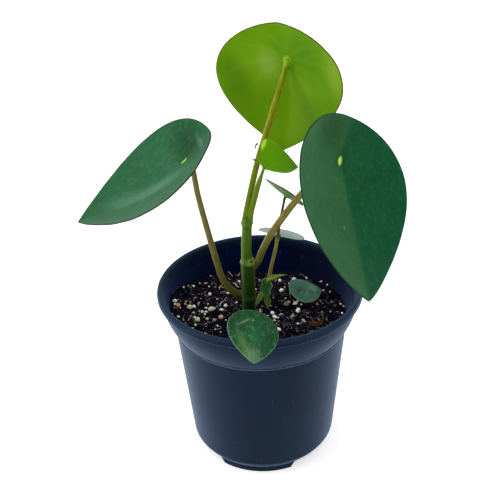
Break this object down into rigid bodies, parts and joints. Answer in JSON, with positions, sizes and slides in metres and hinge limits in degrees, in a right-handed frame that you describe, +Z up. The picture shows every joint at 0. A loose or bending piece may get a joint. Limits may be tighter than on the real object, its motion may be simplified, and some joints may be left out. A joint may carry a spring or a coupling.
{
  "type": "potted peperomia",
  "caption": "Young raindrop-leaf peperomia in a dark round grower's pot: broad glossy blades on slim stalks over a bark and perlite soil.",
  "frame": {"origin": "centre of the pot's underside, on the pot's axis, on the surface that the pot stands on", "axes": "+Z up along the pot's axis; -Y towards the viewer, so that +X is on the viewer's right"},
  "size_m": [0.1681, 0.1272, 0.2339],
  "materials": {
    "pot_plastic": "satin dark blue-grey injection moulded plastic",
    "soil": null,
    "stem_green": null,
    "petiole_olive": "olive and reddish-brown leaf stalk",
    "leaf_green": "thick glossy deep green blade with a paler margin",
    "leaf_bright": "bright yellow-green blade or underside",
    "leaf_olive": "olive young leaf of the side shoot",
    "dried_tip": "dry grey-brown tip"
  },
  "bodies": {
    "root": {"pot": "pot_plastic", "soil": "soil", "main_stem": "stem_green", "side_stem": "stem_green", "petiole_left": "petiole_olive", "petiole_right": "petiole_olive", "petiole_back": "petiole_olive", "petiole_young": "petiole_olive", "petiole_rear_upper": "petiole_olive", "petiole_rear_low": "petiole_olive", "petiole_front": "petiole_olive", "petiole_soil": "petiole_olive", "leaf_left": "leaf_green", "leaf_right": "leaf_green", "leaf_back": "leaf_bright", "leaf_young": "leaf_bright", "leaf_rear_upper": "leaf_green", "leaf_rear_low": "leaf_green", "leaf_front": "leaf_green", "leaf_soil": "leaf_green", "shoot_leaf_dark": "leaf_green", "shoot_leaf_yellow": "leaf_bright", "shoot_leaf_olive_left": "leaf_olive", "shoot_leaf_olive_right": "leaf_olive", "dried_tip_upper": "dried_tip", "dried_tip_lower": "dried_tip"}
  },
  "joints": []
}
